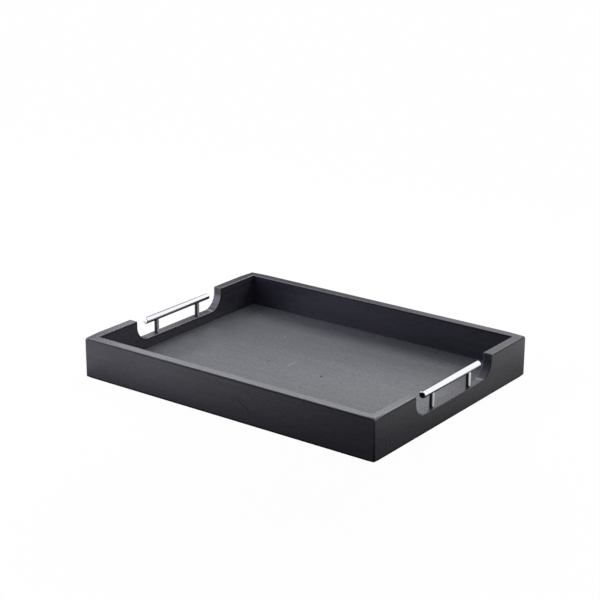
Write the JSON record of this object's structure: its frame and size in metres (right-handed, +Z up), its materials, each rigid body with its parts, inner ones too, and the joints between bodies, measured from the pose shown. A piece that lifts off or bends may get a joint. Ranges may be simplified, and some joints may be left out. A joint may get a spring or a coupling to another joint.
{
  "type": "butler tray",
  "caption": "Rectangular wooden serving tray with mitred rails, a panel floor let into a groove, and a polished T-bar handle standing in a rounded notch at each end.",
  "frame": {"origin": "middle of the tray's base, on the surface that it stands on", "axes": "+X along the long rails towards the right-hand handle, +Y from the front rail to the back rail, +Z up"},
  "size_m": [0.49, 0.38, 0.059],
  "materials": {
    "stained_rail": "black stain under satin lacquer",
    "stained_panel": "black stain under satin lacquer, grain along the tray",
    "bare_tongue": "bare beech",
    "polished_handle": "polished",
    "plated_fastener": "zinc plated"
  },
  "bodies": {
    "root": {"front_rail": "stained_rail", "back_rail": "stained_rail", "left_end_rail": "stained_rail", "right_end_rail": "stained_rail", "floor_panel": "stained_panel", "front_left_tongue": "bare_tongue", "front_right_tongue": "bare_tongue", "back_left_tongue": "bare_tongue", "back_right_tongue": "bare_tongue", "left_handle_bar": "polished_handle", "right_handle_bar": "polished_handle", "left_handle_front_post": "polished_handle", "left_handle_back_post": "polished_handle", "right_handle_front_post": "polished_handle", "right_handle_back_post": "polished_handle", "left_handle_front_screw": "plated_fastener", "left_handle_back_screw": "plated_fastener", "right_handle_front_screw": "plated_fastener", "right_handle_back_screw": "plated_fastener", "left_handle_front_washer": "plated_fastener", "left_handle_back_washer": "plated_fastener", "right_handle_front_washer": "plated_fastener", "right_handle_back_washer": "plated_fastener"}
  },
  "joints": []
}
